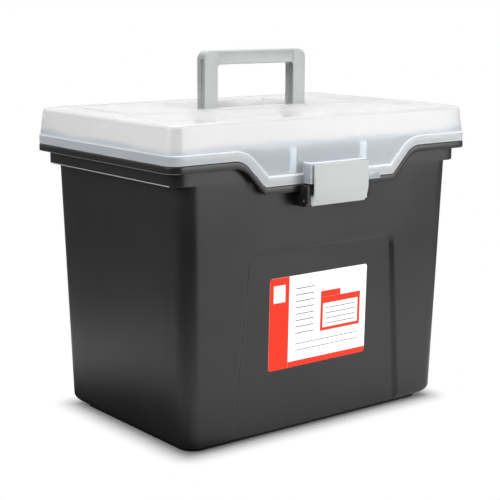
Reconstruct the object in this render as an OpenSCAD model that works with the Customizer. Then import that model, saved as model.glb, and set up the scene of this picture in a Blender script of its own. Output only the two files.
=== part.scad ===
// Portable file box: a black tub for hanging folders, a clear hinged lid with a bail handle,
// a front latch and a lift-out organiser tray under the lid.
// Origin: middle of the foot, on the table. X runs along the front, the front faces -Y, Z is up.

/* [Rim] */
// Width of the box over its rim
rim_w = 350.5; // [336:0.5:370]
// Depth of the box over its rim
rim_d = 228; // [220:1:250]
// Height of the rim's top face over the table
rim_z = 258; // [250:1:280]
// Height of the rim's turned-down edge
rim_h = 6.5; // [5:0.5:8]
// Corner radius of the rim, seen from above
rim_r = 12; // [11:0.5:16]

/* [Tub] */
// Wall thickness of the tub
wall_t = 2.6; // [2:0.1:3]
// How far each wall leans in between the side ledges and the table
wall_lean = 6.1; // [3:0.1:8]
// How far the rim stands out past the wall under it
rim_out = 7.35; // [6.5:0.05:9]
// Height of the wide band at the sides, rim included
band_h = 18.5; // [16:0.5:22]
// How far the side walls step in under that band
band_step = 9.5; // [8:0.5:11]
// Radius that rounds the walls into the bottom
bottom_r = 8; // [5:0.5:10]
// Height of the foot
foot_h = 4.5; // [3.5:0.5:6]
// How far the foot stands in from the walls
foot_in = 9.75; // [9:0.25:14]

/* [Folder rails] */
// Height of the built-in rails over the side ledges
rail_h = 4.5; // [3:0.5:7]
// Gap between the end of a rail and the wall
rail_gap = 12; // [8:1:30]

/* [Front scoop] */
// Half the length of the scoop's low stretch
scoop_half = 76; // [60:1:84]
// How far the rim drops in the scoop
scoop_drop = 25; // [20:1:28]
// Slope of the scoop's ends
scoop_angle = 46; // [40:1:60]
// Radius at the top of the scoop's slopes
scoop_top_r = 22; // [12:1:26]
// Radius at the foot of the scoop's slopes
scoop_low_r = 3; // [2:0.5:6]

/* [Rim bead] */
// Height of the bead that the lid closes over
bead_h = 8; // [7:0.5:9]
// Thickness of the bead
bead_t = 2.6; // [2:0.1:3]
// How far the bead stands in from the rim's edge
bead_in = 4.6; // [4.4:0.1:5.4]

/* [Front panel] */
// Half width of the recessed panel at its top
panel_top_half = 87; // [75:1:95]
// Half width of the recessed panel at the table
panel_low_half = 103; // [96:1:110]
// Height of the panel's top edge
panel_top = 176; // [160:1:190]
// Depth of the panel
panel_deep = 3; // [1:0.5:4]
// Width of the slope round the panel
panel_slope = 5; // [3:0.5:8]
// Radius of the panel's top corners
panel_r = 10; // [6:1:16]

/* [Label] */
// Width of the label
label_w = 117; // [90:1:140]
// Height of the label
label_h = 86; // [60:1:90]
// How far the label's middle lies to the right
label_x = -2.5; // [-15:0.5:15]
// Height of the label's middle along the panel
label_up = 105; // [95:1:115]
// Thickness of the label
label_t = 0.3; // [0.2:0.05:0.5]
// Corner radius of the label
label_r = 2.5; // [1:0.5:6]

/* [Hinges] */
// Distance of each hinge from the middle
hinge_x = 95; // [60:1:120]
// How far the hinge axis lies behind the rim
hinge_out = 9.8; // [9:0.1:13]
// How far the hinge axis lies under the rim's top face
hinge_down = 0.5; // [0:0.1:1]
// Radius of the knuckles
knuckle_r = 5.2; // [4.5:0.1:6]
// Width of the lid's knuckle
lid_knuckle_w = 20; // [14:1:30]
// Width of each of the tub's knuckles
tub_knuckle_w = 5; // [4:0.5:8]
// Radius of the hinge pins
hinge_pin_r = 2.2; // [1.8:0.1:2.6]

/* [Lid] */
// Wall thickness of the lid
lid_t = 1.8; // [1.5:0.1:2]
// Height of the lip that closes over the bead
lip_h = 9; // [8.8:0.1:11]
// How far the lip stands out past the lid's wall
lip_out = 1.1; // [0.8:0.1:1.2]
// Height of the lid's top face over the rim
lid_h = 34; // [33:0.5:40]
// How far the lid's wall leans in towards its top
lid_lean = 1.9; // [1:0.1:3]
// Radius round the lid's top edge
lid_r = 4.5; // [3:0.5:6]
// Height of the pad raised on the lid's top
pad_h = 1; // [0.5:0.1:1.5]
// Half width of that pad
pad_half = 146; // [120:1:150]
// Where the pad's front edge lies, behind the middle if above zero
pad_front = -18; // [-25:1:-8]
// Where the pad's back edge lies
pad_back = 84; // [76:1:97]

/* [Lid ribs and tab] */
// Distance of the apron's ribs from the middle
rib_x = 41.5; // [38:0.5:50]
// Depth of the ribs
rib_deep = 5.8; // [3:0.2:6]
// How far the tab that hangs from the lip reaches past the catch
tab_w = 24; // [12:1:30]
// Height of that tab under the lip
tab_drop = 1.7; // [1:0.1:2.5]
// Thickness of that tab
tab_t = 1.3; // [1:0.1:1.8]

/* [Latch] */
// Width of the latch plate
latch_w = 63.6; // [50:0.2:70]
// Thickness of the latch plate
latch_t = 2; // [1.6:0.1:2.4]
// How far the latch stands out in front of the rim
latch_out = 13.5; // [13:0.1:16]
// Height of the latch plate
latch_h = 36.8; // [35:0.1:38]
// How far the plate's top lies over the rim in the scoop
latch_up = 17.6; // [16.5:0.1:18]
// Radius of the plate's inward bend
bend_r = 26; // [22:1:34]
// Height of the bent stretch at the plate's foot
bend_h = 15.2; // [12:0.1:18]
// How far the pivot lies in front of the rim
pivot_out = 4.5; // [4:0.1:5]
// How far the pivot lies under the rim in the scoop
pivot_down = 14.5; // [14:0.1:15.5]
// Radius of the latch pin
latch_pin_r = 1.5; // [1.2:0.1:1.8]
// Radius of the latch's knuckles
latch_knuckle_r = 3.6; // [3.2:0.1:4]
// Width of each of the latch's knuckles
latch_knuckle_w = 11; // [6:1:14]
// Thickness of the ears that hold the latch
ear_t = 4; // [3:0.5:6]
// How far the hook and the catch's ledge stand out
hook_out = 0.7; // [0.5:0.1:0.7]

/* [Catch] */
// Width of the catch on the lid
catch_w = 66.6; // [56:0.2:70]
// Height of the catch
catch_h = 19; // [17:0.5:19.5]

/* [Handle] */
// Width of the handle
handle_w = 121.2; // [100:0.2:126]
// Width of its legs, seen from the front
leg_w = 15.3; // [12:0.1:18]
// Thickness of the handle from front to back
handle_t = 12.5; // [11.4:0.1:12.8]
// Height of the grip bar
grip_h = 12.8; // [10:0.1:16]
// Height of the handle over its axis
handle_h = 57.6; // [50:0.2:58]
// Radius of the handle's outer corners
handle_r = 8; // [5:0.5:12]
// Radius of the grip's inner corners
grip_r = 3; // [2:0.5:6]
// How far the handle axis lies behind the middle
handle_y = 6.5; // [0:0.5:8]
// How far the handle axis lies under the lid's top face
handle_down = 4.3; // [4:0.1:4.6]
// Radius of the handle's stub axles
stub_r = 2.5; // [2:0.1:2.8]
// Length of the stub axles
stub_l = 4.3; // [3:0.1:5]
// Depth of the grooves in the legs
groove_deep = 2.6; // [1:0.1:4]

/* [Tray] */
// Wall thickness of the tray
tray_t = 1.6; // [1.2:0.1:2]
// How far the tray's walls stand in from the bead
tray_in = 4.8; // [4:0.1:8]
// Height of the tray
tray_up = 18; // [15:0.5:18]
// Corner radius of the tray
tray_r = 8; // [5:0.5:10]
// How far the dividers stop below the tray's walls
divider_down = 4; // [3:0.5:6]
// Depth of the long compartment at the front
pen_d = 42; // [30:1:44]
// Depth of the row of three compartments behind it
small_d = 42; // [30:1:46]

/* [Clearances] */
// Gap between pieces that rest on each other
seat_gap = 0.3; // [0.25:0.05:0.35]
// Radial gap of a pin in the piece that turns on it
turn_gap = 0.06; // [0.03:0.01:0.08]
// Radial gap of a pin in the piece that holds it
hold_gap = 0.03; // [0.02:0.01:0.04]
// Side gap beside turning knuckles
side_gap = 0.4; // [0.3:0.1:0.6]
// Gap round the handle in its bed
bed_gap = 0.5; // [0.4:0.1:0.8]

/* [Hidden] */

black = [0.16, 0.16, 0.165];
clear = [0.86, 0.89, 0.92, 0.55];
frost = [0.93, 0.95, 0.96, 0.7];
grey = [0.79, 0.81, 0.80];

eps = 0.01;
arc_n = 8;
corner_fn = 48;
hull_fn = 32;

// The tub's levels and half sizes
ledge_z = rim_z - band_h;
low_z = rim_z - scoop_drop;
band_half_x = rim_w / 2 - rim_out;
band_half_y = rim_d / 2 - rim_out;
wall_half_x = band_half_x - band_step;
wall_half_y = band_half_y;
wall_r = 15;
band_r = 12;
inner_r = 3;
lean_angle = atan(wall_lean / ledge_z);
front_y0 = -(wall_half_y - wall_lean);
foot_half_x = wall_half_x - wall_lean - foot_in;
foot_half_y = wall_half_y - wall_lean - foot_in;

// The rim bead, the lid and the tray
bead_z = rim_z + bead_h;
bead_inner = bead_in + bead_t;
lip_in = seat_gap;
lid_in = lip_in + lip_out;
lip_z = rim_z + lip_h;
lid_z = rim_z + lid_h;
rib_gap = 1.9;

// The hinges
hinge_y = rim_d / 2 + hinge_out;
hinge_z = rim_z - hinge_down;
hinge_half = lid_knuckle_w / 2 + side_gap + tub_knuckle_w;

// The latch, its ears and the catch
plate_y = -rim_d / 2 - latch_out;
plate_back = plate_y + latch_t;
plate_top = low_z + latch_up;
bend_c = [plate_y + bend_r, plate_top - latch_h + bend_h];
pivot_y = -rim_d / 2 - pivot_out;
pivot_z = low_z - pivot_down;
ear_in = max(latch_w, catch_w) / 2 + 0.6;
ear_front = plate_back + 1.8;
ear_r = pivot_y - ear_front;
catch_front = plate_back + 2;
catch_low = low_z + seat_gap + 0.1;
catch_top = catch_low + catch_h;
hook_z = catch_top - 7.2;
hook_h = 3;
hook_side = 6;
hook_play = 0.6;

// The handle and its bed in the lid
axis_z = lid_z - handle_down;
handle_front = handle_y - (handle_t - 3);
handle_low = 3;
bed_half = handle_w / 2 + bed_gap;
bed_front = handle_y - norm([handle_y - handle_front, handle_low]) - bed_gap;
bed_back = handle_y + handle_h + bed_gap;
bed_z = axis_z - handle_low - seat_gap;
boss_r = stub_r + lid_t;
groove_in = 1.2;
groove_end = 2;

// The tray
tray_half_x = rim_w / 2 - bead_inner - tray_in;
tray_half_y = rim_d / 2 - bead_inner - tray_in;
tray_low = bead_z + seat_gap;
tray_top = tray_low + tray_up;
divider_z = tray_top - divider_down;
pen_y = -tray_half_y + tray_t + pen_d;
small_y = pen_y + tray_t + small_d;
small_x = (tray_half_x - tray_t) / 3;
side_x = bed_half + lid_t + 8;

// Points of an arc, from angle a0 to a1
function arc(c, r, a0, a1, n = arc_n) =
    [for (i = [0:n]) c + r * [cos(a0 + (a1 - a0) * i / n), sin(a0 + (a1 - a0) * i / n)]];

// Right half of the rim's line, from the middle out, moved d along its own normal.
// The corners of the line are rounded, and the rounding follows the offset.
function scoop_half_line(d) =
    let (half_tan = tan(scoop_angle / 2),
         low_r = max(scoop_low_r - d, 0.8),
         top_r = scoop_top_r + d,
         low_x = scoop_half - d * half_tan,
         top_x = scoop_half + scoop_drop / tan(scoop_angle) - d * half_tan)
    concat(arc([low_x - low_r * half_tan, low_z + d + low_r], low_r, -90, -90 + scoop_angle),
           arc([top_x + top_r * half_tan, rim_z + d - top_r], top_r, 90 + scoop_angle, 90),
           [[rim_w, rim_z + d]]);

// The whole line from left to right
function scoop_line(d) =
    let (half = scoop_half_line(d), n = len(half))
    concat([for (i = [n - 1:-1:0]) [-half[i][0], half[i][1]]], half);

function backwards(line) = [for (i = [len(line) - 1:-1:0]) line[i]];

// Outline of the front panel, grown by g; its sides run on below the table
function panel_outline(g) =
    let (side = (panel_low_half - panel_top_half) / panel_top,
         slant = atan(side),
         x_top = panel_top_half + g,
         z_top = panel_top + g,
         r = panel_r,
         cx = x_top + side * r - r / cos(slant),
         x_low = panel_low_half + g + 20 * side)
    concat([[-x_low, -20]],
           arc([-cx, z_top - r], r, 180 - slant, 90),
           arc([cx, z_top - r], r, 90, slant),
           [[x_low, -20]]);

// A rectangle with round corners, given by its half sizes
module rounded(hx, hy, r, fn = corner_fn) {
    square([2 * hx, 2 * (hy - r)], center = true);
    square([2 * (hx - r), 2 * hy], center = true);
    for (x = [-1, 1], y = [-1, 1])
        translate([x * (hx - r), y * (hy - r)]) circle(r, $fn = fn);
}

// A thin slice of that shape, for the leaning walls
module slice(hx, hy, r, z) {
    translate([0, 0, z]) linear_extrude(eps) rounded(hx, hy, r, hull_fn);
}

// A slab whose XZ outline is given, from y0 to y1
module across(y0, y1) {
    translate([0, y1, 0]) rotate([90, 0, 0]) linear_extrude(y1 - y0) children();
}

// A slab whose YZ outline is given, from x0 to x1
module along(x0, x1) {
    translate([x0, 0, 0]) rotate([90, 0, 90]) linear_extrude(x1 - x0) children();
}

// A rod along X
module rod(x0, x1, y, z, r) {
    translate([x0, y, z]) rotate([0, 90, 0]) cylinder(h = x1 - x0, r = r, $fn = corner_fn);
}

// What lies between two offsets of the rim's line, all round the box; hang lowers its bottom
module rim_layer(d0, d1, hang) {
    across(-rim_d, 1)
        polygon(concat(scoop_line(d1), backwards([for (p = scoop_line(d0)) p - [0, hang]])));
    translate([-rim_w, 0, rim_z + d0 - hang]) cube([2 * rim_w, rim_d, d1 - d0 + hang]);
}

// An upright ring between two distances in from the rim's edge
module rim_ring(in0, in1) {
    translate([0, 0, low_z - 20]) linear_extrude(scoop_drop + 50) difference() {
        rounded(rim_w / 2 - in0, rim_d / 2 - in0, rim_r - in0);
        rounded(rim_w / 2 - in1, rim_d / 2 - in1, max(rim_r - in1, 1.5));
    }
}

module rim_part(in0, in1, d0, d1, hang = 0) {
    intersection() {
        rim_ring(in0, in1);
        rim_layer(d0, d1, hang);
    }
}

// Stands what is drawn on the plane of the leaning front wall, with Y up along it
module on_front() {
    translate([0, front_y0, 0]) rotate([90 + lean_angle, 0, 0]) children();
}

// The leaning walls with their round bottom, moved in by t
module walls(t, z0) {
    r = max(bottom_r - t, 1);
    hull() {
        for (a = [0:22.5:90]) {
            z = z0 + r * (1 - sin(a));
            lean = wall_lean * (1 - z / ledge_z);
            slice(wall_half_x - t - lean - r * (1 - cos(a)), wall_half_y - t - lean - r * (1 - cos(a)),
                  wall_r - t, z);
        }
        slice(wall_half_x - t, wall_half_y - t, wall_r - t, ledge_z - eps);
    }
}

module tub_outside() {
    walls(0, foot_h);
    linear_extrude(foot_h + bottom_r) rounded(foot_half_x, foot_half_y, wall_r);
    translate([0, 0, ledge_z]) linear_extrude(band_h) rounded(band_half_x, band_half_y, band_r);
}

// The front panel as a sunken block: t is how deep it starts, g how much wider it is
module panel_block(t, g) {
    on_front() hull() {
        translate([0, 0, -t]) linear_extrude(1) polygon(panel_outline(g));
        translate([0, 0, -t - panel_deep]) linear_extrude(eps) polygon(panel_outline(g - panel_slope));
    }
}

module tub_inside() {
    difference() {
        walls(wall_t, foot_h + wall_t);
        panel_block(wall_t, 0.8);
    }
    translate([0, 0, wall_t])
        linear_extrude(foot_h + wall_t)
            rounded(foot_half_x - wall_t, foot_half_y - wall_t, wall_r - wall_t);
    translate([0, 0, ledge_z + wall_t])
        linear_extrude(band_h) rounded(band_half_x - wall_t, band_half_y - wall_t, band_r - wall_t);
    translate([0, 0, ledge_z - 1])
        linear_extrude(band_h) rounded(wall_half_x - wall_t, band_half_y - wall_t, wall_r - wall_t);
}

// A rail for the folders' hooks: the side wall's edge carried up past the ledge
module rail() {
    half = band_half_y - wall_t - rail_gap;
    translate([wall_half_x - wall_t, -half, ledge_z])
        cube([wall_t, 2 * half, wall_t + rail_h]);
}

// One of the ears that hold the latch pin
module latch_ear() {
    back = -wall_half_y + 1;
    along(0, ear_t) difference() {
        union() {
            polygon([[back, pivot_z - ear_r], [back, low_z - 0.5], [ear_front, low_z - 0.5],
                     [ear_front, pivot_z], [pivot_y, pivot_z - ear_r]]);
            translate([pivot_y, pivot_z]) circle(ear_r, $fn = corner_fn);
        }
        translate([pivot_y, pivot_z]) circle(latch_pin_r + hold_gap, $fn = corner_fn);
    }
}

// One of the tub's hinge knuckles, with its arm from the wall
module tub_knuckle() {
    along(0, tub_knuckle_w) difference() {
        union() {
            translate([band_half_y - 1, hinge_z - knuckle_r])
                square([hinge_y - band_half_y + 1, knuckle_r + hinge_down]);
            translate([hinge_y, hinge_z]) circle(knuckle_r, $fn = corner_fn);
        }
        translate([hinge_y, hinge_z]) circle(hinge_pin_r + hold_gap, $fn = corner_fn);
    }
}

module tub() {
    color(black) {
        difference() {
            tub_outside();
            tub_inside();
            panel_block(0, 0);
            across(-rim_d, -rim_d / 4)
                polygon(concat(scoop_line(0), [[rim_w, rim_z + 50], [-rim_w, rim_z + 50]]));
        }
        for (side = [0, 1]) mirror([side, 0, 0]) {
            rail();
            translate([ear_in, 0, 0]) latch_ear();
            for (x = [-hinge_half, hinge_half - tub_knuckle_w])
                translate([hinge_x + x, 0, 0]) tub_knuckle();
        }
        rim_part(0, rim_out + 0.5, -wall_t, 0);
        rim_part(0, wall_t, 0, 0, rim_h);
        rim_part(bead_in, bead_inner, -0.5, bead_h);
    }
}

// The lid's shell without its lip, moved in by t
module lid_block(t, z0) {
    r = max(lid_r - t, 1);
    top = lid_z - t;
    hull() {
        slice(rim_w / 2 - lid_in - t, rim_d / 2 - lid_in - t, rim_r - lid_in - t, z0);
        for (a = [0:30:90])
            slice(rim_w / 2 - lid_in - t - lid_lean - r * (1 - cos(a)),
                  rim_d / 2 - lid_in - t - lid_lean - r * (1 - cos(a)),
                  rim_r - lid_in - t, top - eps - r * (1 - sin(a)));
    }
}

module handle_bed(grow, z0, z1) {
    translate([-bed_half - grow, bed_front - grow, z0])
        cube([2 * (bed_half + grow), bed_back - bed_front + 2 * grow, z1 - z0]);
}

// The bar-shaped lug in the scoop that the latch closes over, open below
module catch() {
    back = -rim_d / 2 + lid_in + 0.5;
    difference() {
        translate([-catch_w / 2, catch_front, catch_low]) cube([catch_w, back - catch_front, catch_h]);
        translate([-catch_w / 2 + lid_t, catch_front + lid_t, catch_low - 1])
            cube([catch_w - 2 * lid_t, back - catch_front, catch_h + 1 - lid_t]);
    }
    translate([-catch_w / 2 + hook_side, catch_front - hook_out, hook_z - hook_h - hook_play])
        cube([catch_w - 2 * hook_side, hook_out + 1, hook_h]);
}

module lid() {
    color(clear) difference() {
        union() {
            difference() {
                lid_block(0, lip_z - 0.5);
                lid_block(lid_t, lip_z - 0.6);
            }
            translate([-pad_half, pad_front, lid_z - lid_t])
                cube([2 * pad_half, pad_back - pad_front, lid_t + pad_h]);
            // the apron fills the scoop between the lip and the shell
            intersection() {
                rim_ring(lid_in, lid_in + lid_t);
                across(-rim_d, -rim_d / 4)
                    polygon(concat(scoop_line(lip_h - 1), [[rim_w, lip_z], [-rim_w, lip_z]]));
            }
            rim_part(lip_in, lid_in + lid_t, seat_gap, lip_h);
            catch();
            for (side = [0, 1]) mirror([side, 0, 0]) {
                lid_rib();
                rod(bed_half, bed_half + stub_l + lid_t, handle_y, axis_z, boss_r);
                lid_knuckle();
            }
            lip_tab();
            handle_bed(lid_t, bed_z - lid_t, lid_z);
        }
        handle_bed(0, bed_z, lid_z + 10);
        for (side = [0, 1]) mirror([side, 0, 0]) {
            rod(bed_half - 1, bed_half + stub_l, handle_y, axis_z, stub_r + turn_gap);
            rod(hinge_x - lid_knuckle_w, hinge_x + lid_knuckle_w, hinge_y, hinge_z, hinge_pin_r + turn_gap);
        }
    }
}

// The tab that hangs in front of the rim on the right of the latch's ear
module lip_tab() {
    front = -rim_d / 2 - seat_gap - tab_t;
    from = ear_in + ear_t + seat_gap;
    translate([from, front, low_z - tab_drop])
        cube([catch_w / 2 + tab_w - from, tab_t, tab_drop + lip_h / 2]);
    translate([from, front, low_z + 2 * seat_gap])
        cube([catch_w / 2 + tab_w - from, tab_t + 3 * seat_gap, lip_h / 2 - 2 * seat_gap]);
}

// A rib inside the apron, between the bead in the scoop and the tray
module lid_rib() {
    foot = low_z + bead_h + rib_gap;
    translate([rib_x - lid_t / 2, -rim_d / 2 + lid_in + lid_t - 0.5, foot])
        cube([lid_t, rib_deep + 0.5, tray_low - rib_gap - foot]);
}

// The lid's hinge knuckle, with its arm from the lip
module lid_knuckle() {
    along(hinge_x - lid_knuckle_w / 2, hinge_x + lid_knuckle_w / 2) {
        translate([rim_d / 2 - lip_in - 1, rim_z + 2 * seat_gap])
            square([hinge_y - rim_d / 2 + lip_in + 1, knuckle_r - hinge_down - 2 * seat_gap]);
        translate([hinge_y, hinge_z]) circle(knuckle_r, $fn = corner_fn);
    }
}

// One compartment of the tray
module compartment(x0, x1, y0, y1) {
    translate([(x0 + x1) / 2, (y0 + y1) / 2, tray_low + tray_t])
        linear_extrude(tray_up) rounded((x1 - x0) / 2, (y1 - y0) / 2, inner_r);
}

module organiser_tray() {
    in = tray_t;
    lip_x = rim_w / 2 - bead_in - 0.25;
    lip_y = rim_d / 2 - bead_in - 0.25;
    notch = scoop_half + scoop_drop / tan(scoop_angle) + 3;
    color(frost) {
        difference() {
            translate([0, 0, tray_low]) linear_extrude(tray_up) rounded(tray_half_x, tray_half_y, tray_r);
            compartment(-tray_half_x + in, tray_half_x - in, -tray_half_y + in, pen_y);
            for (i = [-1:1])
                compartment((2 * i - 1) * small_x + (i == -1 ? 0 : in / 2),
                            (2 * i + 1) * small_x - (i == 1 ? 0 : in / 2), pen_y + in, small_y);
            compartment(-tray_half_x + in, -side_x - in, small_y + in, tray_half_y - in);
            compartment(-side_x, side_x, small_y + in, tray_half_y - in);
            compartment(side_x + in, tray_half_x - in, small_y + in, tray_half_y - in);
            translate([0, 0, divider_z]) linear_extrude(tray_up)
                rounded(tray_half_x - in, tray_half_y - in, tray_r - in);
        }
        // the lip that rests on the bead, left out over the scoop
        translate([0, 0, tray_low]) linear_extrude(tray_t) difference() {
            rounded(lip_x, lip_y, tray_r);
            rounded(tray_half_x - in / 2, tray_half_y - in / 2, tray_r - in / 2);
            translate([-notch, -rim_d / 2]) square([2 * notch, rim_d / 2 - tray_half_y]);
        }
    }
}

// A tall outline from z0 to z1 whose two top corners are round
module round_top(half, z0, z1, r) {
    translate([-half, z0]) square([2 * half, z1 - z0 - r]);
    translate([-half + r, z0]) square([2 * (half - r), z1 - z0]);
    for (x = [-1, 1])
        translate([x * (half - r), z1 - r]) circle(r, $fn = corner_fn);
}

module handle() {
    outer = handle_w / 2;
    inner = outer - leg_w;
    top = axis_z + handle_h;
    color(grey) difference() {
        union() {
            across(handle_front, handle_front + handle_t) difference() {
                round_top(outer, axis_z, top, handle_r);
                round_top(inner, axis_z - 1, top - grip_h, grip_r);
            }
            for (side = [0, 1]) mirror([side, 0, 0]) {
                // the leg's foot, rounded behind the axle so that it can fold
                along(inner, outer) {
                    translate([handle_front, axis_z - handle_low])
                        square([handle_y - handle_front, handle_low + 1]);
                    translate([handle_y, axis_z]) circle(handle_low, $fn = corner_fn);
                }
                rod(outer - 1, outer + stub_l, handle_y, axis_z, stub_r);
            }
        }
        // a groove down the outer and the inner side of each leg
        for (side = [0, 1]) mirror([side, 0, 0])
            for (x = [outer - groove_deep, inner - 1])
                translate([x, handle_front + groove_in, lid_z + pad_h + groove_end])
                    cube([groove_deep + 1, (handle_t - groove_in) / 2,
                          handle_h - handle_down - grip_h - 2 * groove_end]);
    }
}

// Profile of the latch plate, bent in at its foot
function latch_profile() =
    let (fall = asin(bend_h / bend_r))
    concat([[plate_back, plate_top], [plate_y, plate_top]],
           arc(bend_c, bend_r, 180, 180 + fall, 12),
           arc(bend_c, bend_r - latch_t, 180 + fall, 180, 12));

module latch() {
    half = latch_w / 2;
    reach = ear_in - side_gap;
    color(grey) difference() {
        union() {
            along(-half, half) polygon(latch_profile());
            // the hook's rib
            translate([-half + hook_side, plate_back - 0.5, hook_z])
                cube([latch_w - 2 * hook_side, hook_out + 0.5, hook_h]);
            // knuckles at both ends and in the middle, tied to the plate
            for (x = [-reach, -latch_knuckle_w / 2, reach - latch_knuckle_w])
                along(x, x + latch_knuckle_w) {
                    translate([pivot_y, pivot_z]) circle(latch_knuckle_r, $fn = corner_fn);
                    intersection() {
                        translate([plate_y, pivot_z - latch_knuckle_r])
                            square([pivot_y - plate_y, 2 * latch_knuckle_r]);
                        translate(bend_c) circle(bend_r - latch_t / 2, $fn = 2 * corner_fn);
                    }
                }
        }
        rod(-reach - 1, reach + 1, pivot_y, pivot_z, latch_pin_r + turn_gap);
    }
}

module latch_pin() {
    color(grey) rod(-ear_in - ear_t, ear_in + ear_t, pivot_y, pivot_z, latch_pin_r);
}

module hinge_pin(x) {
    color("silver") rod(x - hinge_half, x + hinge_half, hinge_y, hinge_z, hinge_pin_r);
}

module hinge_pin_left() {
    hinge_pin(-hinge_x);
}

module hinge_pin_right() {
    hinge_pin(hinge_x);
}

module label() {
    color("white") on_front()
        translate([label_x, label_up, -panel_deep])
            linear_extrude(label_t) rounded(label_w / 2, label_h / 2, label_r);
}

tub();
lid();
organiser_tray();
handle();
latch();
latch_pin();
hinge_pin_left();
hinge_pin_right();
label();
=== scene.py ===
import math

import bmesh
import bpy
from mathutils import Matrix, Vector


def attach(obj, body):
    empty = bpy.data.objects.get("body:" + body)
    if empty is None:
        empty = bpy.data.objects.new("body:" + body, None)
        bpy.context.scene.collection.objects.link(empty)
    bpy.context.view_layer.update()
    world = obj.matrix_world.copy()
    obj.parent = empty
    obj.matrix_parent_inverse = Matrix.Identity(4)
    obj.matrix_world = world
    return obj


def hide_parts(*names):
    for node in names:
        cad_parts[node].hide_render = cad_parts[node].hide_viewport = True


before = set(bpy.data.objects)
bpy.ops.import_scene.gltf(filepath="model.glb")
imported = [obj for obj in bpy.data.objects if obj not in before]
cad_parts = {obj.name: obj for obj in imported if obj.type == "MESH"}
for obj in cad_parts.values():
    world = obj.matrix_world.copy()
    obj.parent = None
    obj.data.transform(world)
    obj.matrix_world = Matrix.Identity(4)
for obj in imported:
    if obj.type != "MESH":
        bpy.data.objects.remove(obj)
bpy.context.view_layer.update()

# ---------------------------------------------------------------- Studio
# The box stands on a pale floor in a white studio. One large soft light stands in front of it
# on the right, a weaker one fills in from the left and one lights the lid from above.

scene = bpy.context.scene
scene.view_settings.view_transform = "Standard"

camera_place = Vector((-0.7576, -0.9674, 0.3940))
camera_turn, camera_dip, camera_roll = (math.radians(a) for a in (37.89, 11.16, -0.19))
camera_data = bpy.data.cameras.new("camera")
camera_data.sensor_width = 36
camera_data.lens = 92.23
camera = bpy.data.objects.new("camera", camera_data)
scene.collection.objects.link(camera)
camera.matrix_world = (
    Matrix.Translation(camera_place)
    @ Matrix.Rotation(-camera_turn, 4, "Z")
    @ Matrix.Rotation(math.pi / 2 - camera_dip, 4, "X")
    @ Matrix.Rotation(-camera_roll, 4, "Z")
)
scene.camera = camera


def soft_light(name, place, aim, width, height, power):
    data = bpy.data.lights.new(name, "AREA")
    data.shape = "RECTANGLE"
    data.size = width
    data.size_y = height
    data.energy = power
    lamp = bpy.data.objects.new(name, data)
    scene.collection.objects.link(lamp)
    lamp.location = place
    lamp.rotation_euler = (Vector(aim) - Vector(place)).to_track_quat("-Z", "Y").to_euler()


soft_light("key", place=(1.45, -2.03, 0.85), aim=(0, 0, 0.15), width=1.2, height=1.8, power=38)
soft_light("fill", place=(-2.3, -0.2, 1.3), aim=(0, 0, 0.2), width=1.2, height=1.2, power=34)
soft_light("top", place=(0.2, 0.4, 2.2), aim=(0, 0, 0.2), width=1.8, height=1.8, power=23)


def place_on(tree, kind="Object"):
    """The place of a point, or its side with "Normal", in the piece's own frame."""
    return tree.nodes.new("ShaderNodeTexCoord").outputs[kind]


def maths(tree, operation, a, b=0.0, clamp=False):
    """A sum on two values, each of which is a number or a socket."""
    node = tree.nodes.new("ShaderNodeMath")
    node.operation = operation
    node.use_clamp = clamp
    for socket, value in zip(node.inputs, (a, b)):
        if isinstance(value, (int, float)):
            socket.default_value = value
        else:
            tree.links.new(value, socket)
    return node.outputs[0]


def vector_maths(tree, operation, vector, other=None):
    node = tree.nodes.new("ShaderNodeVectorMath")
    node.operation = operation
    if other:
        node.inputs[1].default_value = other
    tree.links.new(vector, node.inputs[0])
    return node.outputs["Value" if operation in ("DOT_PRODUCT", "LENGTH") else "Vector"]


def towards(tree, vector, direction):
    """How far a place lies in a direction."""
    return vector_maths(tree, "DOT_PRODUCT", vector, direction)


def ramp(tree, value, low, high, to_low=0.0, to_high=1.0):
    """Turns a value smoothly from to_low to to_high as it goes from low to high."""
    node = tree.nodes.new("ShaderNodeMapRange")
    node.interpolation_type = "SMOOTHSTEP"
    for key, number in (("From Min", low), ("From Max", high), ("To Min", to_low), ("To Max", to_high)):
        node.inputs[key].default_value = number
    tree.links.new(value, node.inputs["Value"])
    return node.outputs["Result"]


def mixed(tree, share, first, second):
    """Mixes two shaders: a share of 0 gives the first and 1 the second."""
    node = tree.nodes.new("ShaderNodeMixShader")
    for key, socket in enumerate((share, first, second)):
        tree.links.new(socket, node.inputs[key])
    return node.outputs[0]


# The backdrop behind the box is white. The rest of the room is dim at the height of the box and
# brighter overhead.
world = bpy.data.worlds.new("studio")
scene.world = world
world.use_nodes = True
tree = world.node_tree
tree.nodes.clear()
path = tree.nodes.new("ShaderNodeLightPath").outputs
place = place_on(tree, "Generated")
room = tree.nodes.new("ShaderNodeBackground")
room.inputs["Color"].default_value = (0.96, 0.98, 1.0, 1)
room_dim, room_overhead = 0.24, 0.56
tree.links.new(ramp(tree, towards(tree, place, (0, 0, 1)), -0.1, 0.7, room_dim, room_overhead),
               room.inputs["Strength"])
backdrop = tree.nodes.new("ShaderNodeBackground")
backdrop.inputs["Color"].default_value = (1, 1, 1, 1)
backdrop.inputs["Strength"].default_value = 1
away_from_camera = (math.sin(camera_turn), math.cos(camera_turn), 0)
mirrored = maths(tree, "MULTIPLY", ramp(tree, towards(tree, place, away_from_camera), 0.3, 0.75),
                 path["Is Glossy Ray"])
seen = maths(tree, "MAXIMUM", path["Is Camera Ray"],
             maths(tree, "MAXIMUM", path["Is Transmission Ray"], mirrored))
tree.links.new(mixed(tree, seen, room.outputs[0], backdrop.outputs[0]),
               tree.nodes.new("ShaderNodeOutputWorld").inputs["Surface"])

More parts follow.
